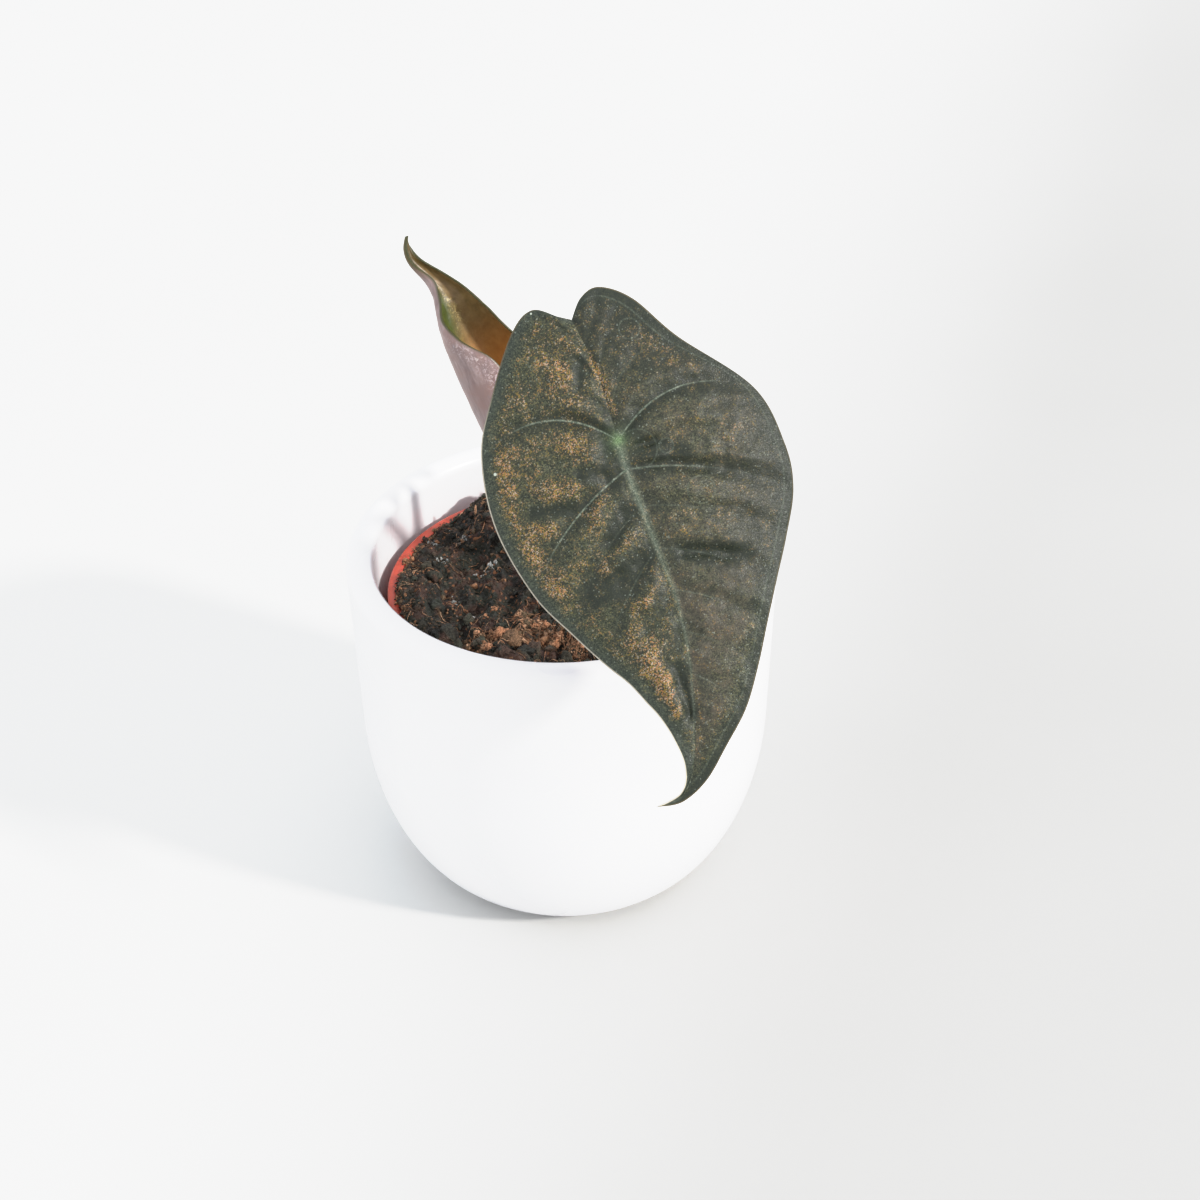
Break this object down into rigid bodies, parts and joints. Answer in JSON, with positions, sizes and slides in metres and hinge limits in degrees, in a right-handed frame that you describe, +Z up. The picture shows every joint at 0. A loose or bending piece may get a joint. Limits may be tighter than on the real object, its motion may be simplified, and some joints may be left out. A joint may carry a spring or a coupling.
{
  "type": "potted alocasia plant",
  "caption": "Young potted alocasia: a quilted shield-shaped leaf and a leaf still unrolling, on stems from a corm in soil, in a plastic nursery pot inside a white glazed cover pot.",
  "frame": {"origin": "middle of the cover pot's flat base, on the surface that the pot stands on", "axes": "+Z up along the pots' axis; the open leaf leans out over the rim on the -Y side; +X to the right seen from that side"},
  "size_m": [0.075, 0.1012, 0.1271],
  "materials": {
    "glaze": "gloss",
    "nursery_plastic": "satin",
    "soil": "matte",
    "corm": "matte",
    "stem": "satin",
    "leaf_open": "satin",
    "leaf_new": "satin"
  },
  "bodies": {
    "root": {"cover_pot": "glaze", "nursery_pot": "nursery_plastic", "soil": "soil", "corm": "corm", "stem_open_leaf": "stem", "stem_new_leaf": "stem", "blade_open_leaf": "leaf_open", "blade_new_leaf": "leaf_new"}
  },
  "joints": []
}
